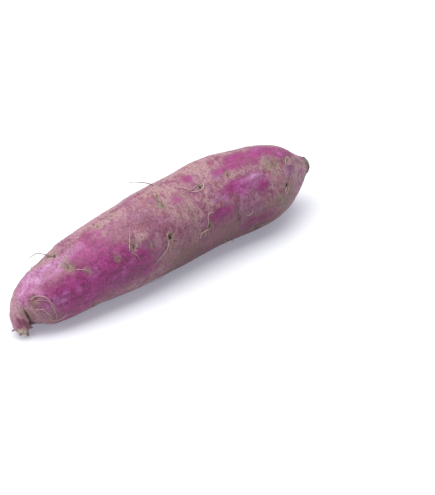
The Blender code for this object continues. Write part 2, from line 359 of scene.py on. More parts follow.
# Rootlets that the photo shows: tone from 0, dark, to 1, pale, radius in mm, and the places that they pass:
# along, round and how far off the skin in mm.
ROOTLETS = (
    (0.9, 0.25, (
        (18.6, 26, -0.3), (22, 31, 0.8), (25.7, 48, 1.1), (25.7, 69, 1.2), (25.7, 88, 0.9), (24, 106, 0.3),
    )),
    (0.8, 0.18, ((19, 34, -0.3), (23.8, 47, 0.7), (26.5, 61, 0.9), (26.6, 75, 0.8), (24, 88, 0.2))),
    (0.9, 0.22, ((16.5, 50, -0.3), (20.3, 62, 0.8), (21, 73, 1.1), (22, 86, 0.9), (22, 100, 0.3))),
    (0.9, 0.24, ((20.3, 92, -0.2), (22, 103, 0.7), (26, 109, 0.9), (30, 103, 0.8), (32.5, 100, 0.3))),
    (0.4, 0.22, ((15.5, 22, -0.2), (18.6, 35, 0.6), (17, 46, 0.2))),
    (0.5, 0.20, ((12.6, 6, -0.2), (15.5, 22, 0.5), (17.5, 40, 0.3))),
    (0.5, 0.20, ((13, 60, -0.2), (18, 66, 0.6), (19, 82, 0.7), (15, 92, 0.3))),
    (0.7, 0.20, ((10, 88, -0.2), (13, 96, 1.6), (14, 103, 3.0))),
    (0.9, 0.34, ((83, 52, -0.5), (83.6, 48, 0.7), (85.8, 41, 0.7), (88.8, 32, 0.4))),
    (0.8, 0.20, ((83, 53, -0.3), (85.8, 61, 0.4), (86.6, 69, 0.3))),
    (0.9, 0.26, ((97.4, 63, -0.3), (97.8, 60, 0.6), (97.2, 56, 0.5))),
    (0.7, 0.30, (
        (111.7, 65, -0.5), (108.8, 71, 0.6), (105.9, 77, 0.8),
        (100.1, 84, 0.9), (94.8, 91, 0.8), (94.3, 102, 0.4),
    )),
    (0.8, 0.20, ((112, 64, -0.4), (110, 59, 0.7), (112.5, 55, 0.6))),
    (0.8, 0.20, ((113, 66, -0.4), (116.5, 71, 0.7), (115, 76, 0.6))),
    (0.9, 0.32, (
        (149.5, 20, -0.5), (146.6, 19.5, 0.7), (143.7, 21, 0.9), (140.8, 18.5, 0.8), (137.9, 11, 0.4),
    )),
    (1.0, 0.32, (
        (149.5, 18, -0.5), (152.6, 21, 0.8), (150, 26.5, 1.0), (144.5, 26.5, 0.9), (140.8, 21, 0.5),
    )),
    (0.9, 0.30, (
        (143.7, 78, -0.5), (143.2, 69, 0.7), (143.7, 62, 0.7), (146.6, 58, 0.6), (149.5, 60.5, 0.4),
    )),
    (1.0, 0.30, ((143.7, 80, -0.5), (139, 78.5, 0.7), (135.5, 80, 0.8), (134.9, 87, 0.5))),
    (0.9, 0.24, ((141, 79, -0.2), (139, 83, 0.6), (140, 87, 0.4))),
    (1.0, 0.30, ((224.7, 21, -0.4), (221.5, 25, 0.6), (220.3, 29, 0.7), (217.9, 35, 0.4))),
    (1.0, 0.26, ((215.4, 74, -0.4), (212.8, 73.5, 0.6), (210.1, 75, 0.7), (210.1, 80, 0.4))),
    (1.0, 0.26, ((215.4, 76, -0.4), (212.8, 79, 0.6), (210.5, 81, 0.4))),
    (0.8, 0.26, ((182.5, 80, -0.2), (181.5, 84, 0.5), (178, 86, 0.5), (176.5, 82, 0.2))),
    (1.0, 0.24, ((48.5, 32, -0.3), (51.8, 39, 0.5), (54.6, 46, 0.2))),
    (0.05, 0.40, ((131, -30, -0.3), (127, -38, 3.2), (123, -42, 5.2), (121, -44, 6.4), (119.5, -46, 8.4))),
    (0.0, 0.75, ((46.3, -19, -0.5), (44.5, -27, 0.1), (42.5, -33, 0.2))),
    (0.15, 0.42, (
        (46, -21, -0.4), (44, -34, 0.3), (42, -44, 2.6), (40, -50, 5.0), (38, -54, 5.8), (35, -58, 6.0),
    )),
    (1.0, 0.11, ((31, -36, -0.2), (28, -42, 4.2), (26, -48, 5.2), (26, -52, 2.2))),
    (1.0, 0.11, ((21, -30, -0.2), (18, -40, 4.6), (16, -46, 4.8), (14, -54, 2.5))),
)
HIDDEN_SEED = 11
# The tuber's usual radius in millimetres, and how many degrees round the lowest line are free of rootlets.
USUAL_RADIUS, FLOOR_SIDE = 24.0, 38

# The photo's camera: where it looks, its azimuth and elevation, its distance, and its lens.
LOOK_AT = (0.0234, -0.0326, 0.0200)
AZIMUTH, ELEVATION, DISTANCE = -36.1, 38.0, 1.30
LENS = 143.3
# The light is strong for a pale grey floor to look white, so a surface is this much darker than it looks.
LIT_SHARE = 0.64
# The floor glows a little, as on a light table, so that shadows on it stay pale.
FLOOR_GLOW = 0.26

# Colours as they look in the scene, 0 to 255.
DEEP_MAUVE, MAUVE = (148, 80, 108), (176, 116, 138)
CLOUD_MAUVE, RED_MAUVE = (160, 100, 136), (168, 94, 110)
PINK, BRIGHT_PINK, ROSE, DEEP_PINK = (160, 48, 118), (200, 74, 162), (190, 78, 148), (124, 32, 88)
# The lilac skin colour carries a painted highlight, and the whitest lilac is a painted highlight alone.
VIOLET_SKIN, LILAC_SKIN_AND_SHEEN, PAINTED_HIGHLIGHT_WHITE = (156, 98, 152), (212, 144, 202), (236, 202, 228)
TAIL_ROSE, PLUM_SKIN = (206, 140, 166), (116, 31, 70)
DUST, PINK_DUST, OLIVE_DUST, BLOTCH = (194, 158, 154), (182, 92, 142), (152, 138, 116), (158, 138, 116)
DARK_SPECK, DARK_PINK_SPECK = (102, 54, 70), (118, 32, 88)
PALE_SPECK, PALE_PINK_SPECK = (222, 182, 194), (206, 108, 172)
# The underside's brown is painted shade.
UNDER_SHADE_BROWN, PATCH_BROWN = (98, 52, 47), (150, 102, 102)
# The crease's dark brown is partly soil and partly painted shade.
GROOVE_BROWN, CREASE_BROWN = (104, 92, 78), (70, 50, 46)
SCAR_HALO, SCAR_TEAR = (172, 152, 128), (58, 38, 34)
BARK_DARK, BARK_PALE = (54, 52, 42), (128, 116, 98)
TIP_DARK, TIP_PALE = (128, 104, 94), (212, 190, 166)
ROOT_DARK, ROOT_PALE, ROOT_RED = (104, 84, 76), (228, 204, 188), (176, 142, 128)
STUB_DARK, STUB_PALE, STUB_CUT = (140, 118, 112), (196, 174, 160), (214, 194, 160)
FLOOR_GREY, FLOOR_PALE = (204, 205, 207), (207, 207, 208)


def spine_curve(shares):
    """Centres and radii at shares 0 to 1 of the spine's control points (uniform cubic B-spline)."""
    table = np.array(SPINE) * MM
    table[:, 2] += table[:, 3]
    table = np.vstack([2 * table[0] - table[1], table, 2 * table[-1] - table[-2]])
    place = np.clip(shares, 0.0, 1.0) * (len(table) - 3)
    i = np.clip(place.astype(int), 0, len(table) - 4)
    u = (place - i)[..., None]
    points = (
        (1 - u) ** 3 * table[i]
        + (3 * u**3 - 6 * u**2 + 4) * table[i + 1]
        + (-3 * u**3 + 3 * u**2 + 3 * u + 1) * table[i + 2]
        + u**3 * table[i + 3]
    ) / 6
    return points[..., :3], points[..., 3]


def measured_spine():
    """Shares, the lengths along the spine at them, and a count of equally fine rings up to them."""
    shares = np.linspace(0.0, 1.0, 2000)
    centres, radii = spine_curve(shares)
    lengths = np.concatenate([[0.0], np.cumsum(np.linalg.norm(np.diff(centres, axis=0), axis=1))])
    gaps = np.clip(radii, 10 * MM, 26 * MM)
    counts = np.concatenate([[0.0], np.cumsum(np.diff(lengths) / gaps[1:])])
    return shares, lengths, counts / counts[-1]


SHARES, LENGTHS, COUNTS = measured_spine()
WHOLE = LENGTHS[-1]


def spine_at(lengths):
    """At lengths along the spine: centres, radii, and the directions up and near that span each ring."""
    shares = np.interp(lengths, LENGTHS, SHARES)
    centres, radii = spine_curve(shares)
    step = 0.001
    tangents = spine_curve(shares + step)[0] - spine_curve(shares - step)[0]
    tangents /= np.linalg.norm(tangents, axis=-1, keepdims=True)
    near = np.cross(tangents, [0.0, 0.0, 1.0])
    near /= np.linalg.norm(near, axis=-1, keepdims=True)
    return centres, radii, np.cross(near, tangents), near


def turned(angles, degrees):
    """How far the angles are turned from a place round the tuber, within half a turn either way."""
    return (angles - math.radians(degrees) + math.pi) % math.tau - math.pi


def noise_at(points, size, offset=0.0):
    """Smooth noise from -1 to 1 at the points, with features of this size."""
    flat = (points / size + offset).reshape(-1, 3)
    return np.array([noise.noise(Vector(p)) for p in flat]).reshape(points.shape[:-1])


def lobe_share(lengths, angles):
    """How far the slowly twisting lobes stand out, as a share of the radius."""
    total = np.zeros_like(angles)
    for count, height, twist in LOBES:
        total += height * np.cos(count * (angles - math.tau * twist * lengths / WHOLE) + count)
    return total


def swell_height(lengths, angles, radii):
    total = np.zeros_like(angles)
    for along, degrees, spread, height in SWELLS:
        apart = (lengths - along * MM) ** 2 + (radii * turned(angles, degrees)) ** 2
        total += height * MM * np.exp(-apart / (spread * MM) ** 2)
    return total


def hidden_scars():
    """The rows of root scars of the far side and the underside."""
    scars = []
    for row, degrees in enumerate(HIDDEN_ROWS):
        for step in range(ROW_COUNT):
            loose = (GOLDEN * (row * ROW_COUNT + step + 1)) % 1.0 - 0.5
            along = ROW_START + ROW_STEP * (step + (row % 2) / 2 + 0.4 * loose)
            scars.append((along, degrees + 16.0 * loose, 0.9 - 0.4 * loose, 0.7 - 0.5 * loose))
    return scars


def scar_apart(lengths, angles, radii, scar):
    """Squared distance from a scar, in scar sizes, longer round the tuber than along it."""
    along, degrees, size, _ = scar
    across = radii * turned(angles, degrees)
    return ((lengths - along * MM) / (SCAR_ALONG * size)) ** 2 + (across / (SCAR_ROUND * size)) ** 2


def nearest_scar(lengths, angles, radii):
    """For each place: how far along and round from the nearest scar, in mm, and its size and darkness."""
    best = np.full(angles.shape, 1e9)
    near = np.zeros((*angles.shape, 4))
    for scar in (*SCARS, *hidden_scars()):
        apart = scar_apart(lengths, angles, radii, scar)
        scar_along, degrees, size, dark = scar
        along = (lengths - scar_along * MM) / MM
        across = radii * turned(angles, degrees) / MM
        here = np.stack([along, across, np.full_like(along, size), np.full_like(along, dark)], axis=-1)
        near = np.where((apart < best)[..., None], here, near)
        best = np.minimum(best, apart)
    return near


def scar_depth(lengths, angles, radii, ragged):
    """The scars' pits, each with a raised rim and a torn slit in its middle."""
    total = np.zeros_like(angles)
    for scar in (*SCARS, *hidden_scars()):
        apart = scar_apart(lengths, angles, radii, scar) * (1 + 0.5 * ragged)
        _, _, size, _ = scar
        total += size * SCAR_DEPTH * (np.exp(-apart) - SCAR_RIM * np.exp(-apart / RIM_SPREAD))
    along, across, size, dark = np.moveaxis(nearest_scar(lengths, angles, radii), -1, 0)
    along = along + 0.6 * ragged
    slit = np.exp(-(((along / SLIT_ALONG) ** 2 + (across / SLIT_ROUND) ** 2) / np.maximum(size, 0.1) ** 2))
    return total + SLIT_DEPTH * dark * slit


def groove_depth(lengths, angles, radii):
    """The thin wavering grooves round the girth."""
    place = unbent(lengths, angles, radii)
    lengths = lengths + (1.3 * noise_at(place, 4.0, 43.0) + 0.8 * noise_at(place, 1.5, 47.0)) * MM
    total = np.zeros_like(angles)
    for along, start, end, depth in GROOVES:
        middle, half = (start + end) / 2, math.radians(end - start) / 2
        reach = np.clip(1.3 - np.abs(turned(angles, middle)) / half, 0.0, 1.0)
        total += depth * MM * reach * np.exp(-(((lengths - along * MM) / GROOVE_HALF) ** 2))
    return total


def crease_share(lengths, angles):
    """How deep in the tail's crease a place lies, from 0 to 1."""
    (top_along, top_round), (low_along, low_round) = CREASE_TOP, CREASE_LOW
    down = turned(angles, top_round) / math.radians(low_round - top_round)
    line = (top_along + (low_along - top_along) * np.clip(down, 0.0, 1.0)) * MM
    deep = np.clip(2.0 * down, 0.0, 1.0) * np.clip(4.4 - down, 0.0, 1.0)
    return deep * np.exp(-(((lengths - line) / CREASE_HALF) ** 2))


def collar_height(lengths, angles):
    """The ragged collar of the stem scar."""
    along = np.exp(-(((WHOLE - lengths - COLLAR_BACK) / COLLAR_HALF) ** 2))
    return COLLAR_HEIGHT * along * (1 + 0.3 * np.cos(7 * angles) + 0.2 * np.cos(4 * angles + 1))


def unbent(lengths, angles, radii):
    """Places on the tuber as if it were straight, in millimetres, so that patterns follow its length."""
    return np.stack([lengths, radii * np.cos(angles), radii * np.sin(angles)], axis=-1) / MM


def closeness(distances, reach):
    """From 1 where the distance is nothing to 0 where it is the reach or more."""
    return np.clip(1.0 - distances / reach, 0.0, 1.0)


def fine_relief(lengths, angles, radii):
    """Small dents, cross cracks, and the wrinkles of the tail and of the stem end."""
    place = unbent(lengths, angles, radii)
    dents = noise_at(place, 3.0, 5.0)
    cracks = noise_at(place * np.array([1.0, 0.22, 0.22]), 1.5, 9.0)
    waver = noise_at(place, 8.0, 2.0)
    tail = closeness(lengths, TAIL_REACH)
    stem = closeness(WHOLE - lengths, NECK_REACH)
    tail_folds = 0.22 * np.cos(11 * angles + 6 * waver) + 0.16 * np.cos(lengths / (0.9 * MM) + 5 * waver)
    stem_folds = 0.16 * np.cos(13 * angles + 5 * waver) + 0.16 * np.cos(23 * angles + 7 * waver)
    height = 0.14 * dents - 0.22 * np.clip(cracks - 0.18, 0.0, 1.0) * 3
    height += tail * tail_folds
    height += tail**2 * 0.5 * noise_at(place, 2.4, 37.0)
    height += stem * stem_folds
    return height * MM


def skin_points(lengths, angles):
    """Points of the fine skin and their outward directions at lengths and angles of any one shape."""
    centres, radii, up, near = spine_at(lengths)
    outward = up * np.cos(angles)[..., None] + near * np.sin(angles)[..., None]
    reach = radii * (1 + lobe_share(lengths, angles))
    bare = centres + outward * reach[..., None]
    calm = np.minimum(1.0, radii / (20 * MM))
    relief = (noise_at(bare, LUMP_SIZE) * LUMP_HEIGHT) * calm
    relief += noise_at(bare, DENT_SIZE, np.array([7.0, 3.0, 5.0])) * DENT_HEIGHT * calm
    relief += swell_height(lengths, angles, radii)
    relief -= scar_depth(lengths, angles, radii, noise_at(bare, 1.6 * MM)) * calm
    relief -= CREASE_DEPTH * crease_share(lengths, angles)
    relief -= groove_depth(lengths, angles, radii)
    relief += collar_height(lengths, angles)
    relief += fine_relief(lengths, angles, radii)
    points = bare + outward * relief[..., None]
    return press_flat(points) + CENTRING, outward


def press_flat(points):
    """Lowers the tuber onto the floor and presses its underside flat, with a soft edge."""
    z = points[..., 2] - FLAT_DEPTH
    eased = (z + FLAT_EASE) ** 2 / (4 * FLAT_EASE)
    points[..., 2] = np.where(z < -FLAT_EASE, 0.0, np.where(z < FLAT_EASE, eased, z))
    return points


def inside_box(points):
    """Keeps points within the solid's box."""
    return np.clip(points, np.array(CAD_LOW), np.array(CAD_HIGH))


def painted(lengths, angles, radii, patches):
    """How strongly each place is painted by patches with wavy edges, from 0 to 1."""
    place = unbent(lengths, angles, radii)
    along_warp = noise_at(place, 8.0, 13.0) * PATCH_WARP + noise_at(place, 3.0, 19.0) * PATCH_WARP / 2
    round_warp = noise_at(place, 8.0, 23.0) * PATCH_WARP + noise_at(place, 3.0, 31.0) * PATCH_WARP / 2
    total = np.zeros_like(angles)
    for along, degrees, reach_along, reach_round, strength in patches:
        loose = min(max(reach_round / WARP_REACH, 0.25), 1.0)
        across = radii * turned(angles, degrees) + loose * round_warp * MM
        apart = ((lengths + (loose * along_warp - along) * MM) / (reach_along * MM)) ** 2
        amount = strength * np.exp(-((apart + (across / (reach_round * MM)) ** 2) ** 1.3))
        total = total + amount - total * amount
    return total


def loose_patches(seed, count, along_range, round_range, reach_along, reach_round, most=1.0):
    """Seeded patches of many sizes, for the small mottling that is the same wherever it falls."""
    chance = random.Random(seed)
    patches = []
    for _ in range(count):
        along, degrees = chance.uniform(*along_range), chance.uniform(*round_range)
        size, stretch = chance.uniform(0.5, 1.5), chance.uniform(0.7, 1.4)
        strength = most * chance.uniform(0.5, 1.0)
        patches.append((along, degrees, reach_along * size * stretch, reach_round * size / stretch, strength))
    return tuple(patches)


def far_patches(seed, count, reach_along, reach_round):
    """Seeded patches for the far side and the underside, which the photo doesn't show."""
    return loose_patches(seed, count, (20, 232), (128, 322), reach_along, reach_round)


def near_patches(seed, count, most):
    """Small seeded patches for the near side, between those placed one by one, most near the stem."""
    everywhere = loose_patches(seed, count, (26, 232), (-50, 120), 4.0, 2.6, most)
    return everywhere + loose_patches(seed + 50, count // 2, (155, 230), (-40, 100), 3.6, 2.2, most)


def neck_patches(seed, most):
    """Small seeded patches all round the neck below the stem scar."""
    return loose_patches(seed, 26, (214, 242), (0, 360), 3.4, 2.2, most)


def add_mesh(name, points, faces, material):
    data = bpy.data.meshes.new(name)
    data.from_pydata([tuple(p) for p in points], [], faces)
    data.update()
    data.shade_smooth()
    data.materials.append(material)
    obj = bpy.data.objects.new(name, data)
    bpy.context.scene.collection.objects.link(obj)
    return obj


def add_values(obj, name, values):
    """Stores one number, or one vector, for each point of a mesh."""
    kind = "FLOAT_VECTOR" if values.ndim == 2 else "FLOAT"
    store = obj.data.attributes.new(name, kind, "POINT")
    store.data.foreach_set("vector" if values.ndim == 2 else "value", values.astype(np.float32).ravel())


def skin_faces(rings):
    """Quads between rings of SIDES points, and fans to a last point at each end."""
    faces = []
    for i in range(rings - 1):
        for j in range(SIDES):
            k = (j + 1) % SIDES
            faces.append((i * SIDES + j, i * SIDES + k, (i + 1) * SIDES + k, (i + 1) * SIDES + j))
    tip, end = rings * SIDES, rings * SIDES + 1
    last = (rings - 1) * SIDES
    for j in range(SIDES):
        k = (j + 1) % SIDES
        faces.append((tip, k, j))
        faces.append((end, last + j, last + k))
    return faces


def end_cap(ring, outward, rises):
    """Rings that close an end: each a share of the end ring, pushed outward by its rise."""
    middle = ring.mean(axis=0)
    return [middle + (ring - middle) * share + outward * rise for share, rise in zip(CAP_SHARES, rises)]


def build_skin(material):
    lengths = np.interp(np.linspace(0.0, 1.0, RINGS), COUNTS, LENGTHS)
    angles = np.arange(SIDES) * math.tau / SIDES
    lengths, angles = np.meshgrid(lengths, angles, indexing="ij")
    points, _ = skin_points(lengths, angles)
    _, radii, up, near = spine_at(lengths)
    tipward = np.cross(near[0, 0], up[0, 0])
    stemward = np.cross(up[-1, 0], near[-1, 0])
    tail = end_cap(points[0], tipward, TAIL_RISES)
    stem = end_cap(points[-1], stemward, STEM_RISES)
    rings = np.array([*reversed(tail), *points, *stem])
    flat = np.vstack([rings.reshape(-1, 3), rings[0].mean(axis=0), rings[-1].mean(axis=0)])
    skin = add_mesh("skin", inside_box(flat), skin_faces(len(rings)), material)
    paint_skin(skin, lengths, angles, radii)
    return skin


def patch_layers():
    """Each layer's patches: those placed one by one, then seeded ones for the other places."""
    return {
        "magenta": MAGENTA + far_patches(3, 34, 16.0, 6.0) + neck_patches(64, 0.8),
        "tan": TAN + far_patches(5, 16, 9.0, 6.0) + near_patches(21, 46, 0.5) + neck_patches(61, 0.7),
        "olive": OLIVE + far_patches(8, 14, 6.0, 5.0) + near_patches(22, 20, 0.6),
        "violet": VIOLET + far_patches(9, 8, 8.0, 5.0) + near_patches(23, 26, 0.6),
        "lilac_and_highlight": LILAC_AND_HIGHLIGHT + far_patches(10, 6, 12.0, 5.0) + near_patches(24, 26, 0.5) + neck_patches(62, 0.9),
        "plum": PLUM + far_patches(13, 16, 9.0, 4.0) + near_patches(25, 30, 0.35) + neck_patches(63, 0.8),
        "brown": BROWN + far_patches(12, 10, 8.0, 6.0),
    }


def paint_skin(skin, lengths, angles, radii):
    """Stores the paint for each point of the skin; the end caps take that of the rings next to them."""
    layers = {name: painted(lengths, angles, radii, patches) for name, patches in patch_layers().items()}
    layers["tail"] = closeness(lengths, TAIL_REACH)
    layers["tip"] = closeness(lengths, TIP_REACH)
    layers["crease"] = crease_share(lengths, angles)
    layers["groove"] = np.clip(groove_depth(lengths, angles, radii) / GROOVE_DEEP, 0.0, 1.0)
    layers["stem"] = closeness(WHOLE - lengths, STEM_REACH)
    layers["under"] = under_shade_share(lengths, angles)
    for name, values in layers.items():
        add_values(skin, name, with_caps(values))
    scar = nearest_scar(lengths, angles, radii)
    add_values(skin, "scar_dark", with_caps(scar[..., 3]))
    vectors = {"unbent": unbent(lengths, angles, radii), "scar": scar}
    for name, values in vectors.items():
        add_values(skin, name, np.stack([with_caps(values[..., k]) for k in range(3)], axis=-1))


def under_shade_share(lengths, angles):
    """How much a place gets the painted shade of the thick part's underside, darker and browner, from 0 to 1.
    """
    low = np.clip((np.abs(turned(angles, 0.0)) - UNDER_FROM) / UNDER_EASE, 0.0, 1.0)
    thick = np.clip((lengths / MM - UNDER_TAILWARD) / UNDER_TAIL_EASE, 0.0, 1.0)
    thick = thick * np.clip((UNDER_STEMWARD - lengths / MM) / UNDER_STEM_EASE, 0.0, 1.0)
    return low * thick


def with_caps(values):
    """Values for all points of the closed skin, from those of its rings."""
    caps = len(CAP_SHARES)
    rings = np.vstack([np.repeat(values[:1], caps, axis=0), values, np.repeat(values[-1:], caps, axis=0)])
    return np.concatenate([rings.ravel(), [values[0].mean(), values[-1].mean()]])


def tube(path, radii, sides, first):
    """Points and faces of a closed tube along a path; its faces count points from first."""
    path = np.asarray(path)
    tangents = np.gradient(path, axis=0)
    tangents /= np.linalg.norm(tangents, axis=1, keepdims=True)
    guide = np.array([0.31, 0.52, 0.80])
    side = np.cross(tangents, guide)
    side /= np.linalg.norm(side, axis=1, keepdims=True)
    rise = np.cross(side, tangents)
    turns = np.arange(sides) * math.tau / sides
    rings = [
        path[i] + radii[i] * (np.outer(np.cos(turns), side[i]) + np.outer(np.sin(turns), rise[i]))
        for i in range(len(path))
    ]
    points = [*np.vstack(rings), path[0], path[-1]]
    faces = []
    for i in range(len(path) - 1):
        for j in range(sides):
            k = (j + 1) % sides
            low, high = first + i * sides, first + (i + 1) * sides
            faces.append((low + j, high + j, high + k, low + k))
    start, end = first + len(path) * sides, first + len(path) * sides + 1
    last = first + (len(path) - 1) * sides
    for j in range(sides):
        k = (j + 1) % sides
        faces.append((start, first + j, first + k))
        faces.append((end, last + k, last + j))
    return points, faces


def smooth_through(places, count):
    """A smooth curve of this many points through the places."""
    rows = np.array(places, float)
    rows = np.vstack([2 * rows[0] - rows[1], rows, 2 * rows[-1] - rows[-2]])
    at = np.linspace(0.0, len(rows) - 3, count)
    i = np.minimum(at.astype(int), len(rows) - 4)
    u = (at - i)[:, None]
    a, b, c, d = rows[i], rows[i + 1], rows[i + 2], rows[i + 3]
    return 0.5 * (2 * b + (c - a) * u + (2 * a - 5 * b + 4 * c - d) * u**2 + (3 * (b - c) + d - a) * u**3)


def rootlet_path(places):
    """A smooth line over the skin through places given as along, round and height off the skin."""
    along, degrees, lift = smooth_through(places, 6 * len(places)).T
    points, outward = skin_points(np.clip(along * MM, 0.0, WHOLE), np.radians(degrees))
    return points + outward * (lift * MM)[:, None]


def hidden_rootlets():
    """Seeded rootlets for the scars of the far side and of the underside, clear of the floor."""
    chance = random.Random(HIDDEN_SEED)
    rootlets = []
    for along, degrees, _, _ in hidden_scars():
        for _ in range(chance.choice((0, 1, 1, 2))):
            heading, curl = chance.uniform(0, 360), chance.uniform(-110, 110)
            stride, tone = chance.uniform(1.2, 3.4), chance.uniform(0.4, 1.0)
            places = [(along, degrees, -0.4)]
            for step in range(4):
                bearing = math.radians(heading + curl * step / 3)
                last = places[-1]
                turn = math.degrees(stride * math.sin(bearing) / USUAL_RADIUS)
                lift = 0.8 if step < 3 else 0.4
                places.append((last[0] + stride * math.cos(bearing), last[1] + turn, lift))
            if abs(degrees % 360 - 180) > FLOOR_SIDE and along < 225:
                rootlets.append((tone, chance.uniform(0.18, 0.30), tuple(places)))
    return rootlets


def build_rootlets(material):
    points, faces, tones = [], [], []
    for tone, radius, places in (*ROOTLETS, *hidden_rootlets()):
        path = rootlet_path(places)
        radii = radius * MM * np.linspace(0.95, 0.5, len(path))
        more, links = tube(inside_box(path), radii, ROOTLET_SIDES, len(points))
        points.extend(more)
        faces.extend(links)
        tones.extend([tone] * len(more))
    rootlets = add_mesh("rootlets", inside_box(np.array(points)), faces, material)
    add_values(rootlets, "tone", np.array(tones))
    return rootlets


def build_stubs(material):
    """The broken root stubs of the tail, each bent a little and torn at its end."""
    chance = random.Random(4)
    points, faces, cuts = [], [], []
    for along, degrees, out, lean, length, radius in STUBS:
        centre, reach, up, near = spine_at(np.array(along * MM))
        turn, tilt = math.radians(degrees), math.radians(lean)
        outward = up * math.cos(turn) + near * math.sin(turn)
        direction = outward * math.cos(tilt) + np.cross(near, up) * math.sin(tilt)
        base = centre + outward * reach * out - np.array([0.0, 0.0, FLAT_DEPTH]) + CENTRING
        share = np.linspace(0.0, 0.97, STUB_RINGS)
        path = base + np.outer(share * length * MM, direction)
        radii = radius * MM * (1.0 - 0.38 * share) * 0.96
        more, links = tube(path, radii, STUB_SIDES, len(points))
        more = np.array(more)
        ragged = noise_at(more, 0.9 * MM, 3.0)[:, None]
        tip = np.repeat(share, STUB_SIDES) > 0.85
        tip = np.concatenate([tip, [False, True]])[:, None]
        more = more + direction * np.where(tip, ragged * 0.35 * MM - 0.2 * MM, 0.0)
        more = more + (more - base - np.outer((more - base) @ direction, direction)) * ragged * 0.12
        points.extend(more)
        faces.extend(links)
        cuts.extend(tip[:, 0] * chance.uniform(0.4, 1.0))
    stubs = add_mesh("root_stubs", inside_box(np.array(points)), faces, material)
    add_values(stubs, "cut", np.array(cuts, float))
    return stubs


def linear(colour):
    """A colour given as it looks on a screen, 0 to 255, as light values."""
    light = [((c / 255 + 0.055) / 1.055) ** 2.4 if c > 10 else c / 255 / 12.92 for c in colour]
    return (*light, 1.0)


def lit(colour):
    """The light values of a surface that looks like this colour under the scene's light."""
    return (*(LIT_SHARE * c for c in linear(colour)[:3]), 1.0)


def new_material(name):
    material = bpy.data.materials.new(name)
    material.use_nodes = True
    return material, material.node_tree, material.node_tree.nodes["Principled BSDF"]


def add(tree, kind, inputs=None, **settings):
    """Adds a node; inputs take numbers, colours or the outputs of other nodes."""
    made = tree.nodes.new(kind)
    for name, value in settings.items():
        setattr(made, name, value)
    for name, value in (inputs or {}).items():
        if isinstance(value, bpy.types.NodeSocket):
            tree.links.new(value, made.inputs[name])
        else:
            made.inputs[name].default_value = value
    return made


def value_of(tree, name):
    """The number stored with the mesh's points under this name."""
    return add(tree, "ShaderNodeAttribute", attribute_name=name).outputs["Fac"]


def compute(tree, operation, *values):
    """One node of arithmetic on numbers or outputs of nodes."""
    return add(tree, "ShaderNodeMath", dict(enumerate(values)), operation=operation).outputs[0]


def times(tree, first, second):
    return compute(tree, "MULTIPLY", first, second)


def less(tree, first, second):
    return compute(tree, "SUBTRACT", first, second)


def moved(tree, place, scale, shift):
    """A place times a scale plus a shift, each of three numbers."""
    inputs = {0: place, 1: scale, 2: shift}
    return add(tree, "ShaderNodeVectorMath", inputs, operation="MULTIPLY_ADD").outputs[0]


def grain(tree, place, size, detail=4.0, stretch=(1.0, 1.0, 1.0), rough=0.6, offset=0.0):
    """Noise from 0 to 1 with features of this size, in the place's unit, longer where stretch is smaller."""
    scaled = moved(tree, place, tuple(s / size for s in stretch), (offset,) * 3)
    inputs = {"Vector": scaled, "Scale": 1.0, "Detail": detail, "Roughness": rough}
    return add(tree, "ShaderNodeTexNoise", inputs).outputs["Fac"]


def ramp(tree, value, low, high):
    """Rises smoothly from 0 at low to 1 at high."""
    inputs = {"Value": value, "From Min": low, "From Max": high}
    return add(tree, "ShaderNodeMapRange", inputs, interpolation_type="SMOOTHSTEP").outputs[0]


def over(tree, amount, under, colour):
    """The colour laid over another by an amount from 0 to 1."""
    mix = add(tree, "ShaderNodeMix", {0: amount, 6: under, 7: colour}, data_type="RGBA")
    return mix.outputs[2]


def tint(tree, under, colour, amount, most):
    """One of the named colours laid over another by an amount from 0 to 1, times the most it covers."""
    return over(tree, times(tree, amount, most), under, lit(colour))


def broken(tree, layer, texture, strength, low, high):
    """A painted layer whose edges are broken up by a texture."""
    shifted = times(tree, less(tree, texture, 0.5), strength)
    return ramp(tree, compute(tree, "ADD", layer, shifted), low, high)


def weighted(tree, *parts):
    """The sum of values, each times its weight."""
    total = times(tree, *parts[0])
    for value, weight in parts[1:]:
        total = compute(tree, "MULTIPLY_ADD", value, weight, total)
    return total


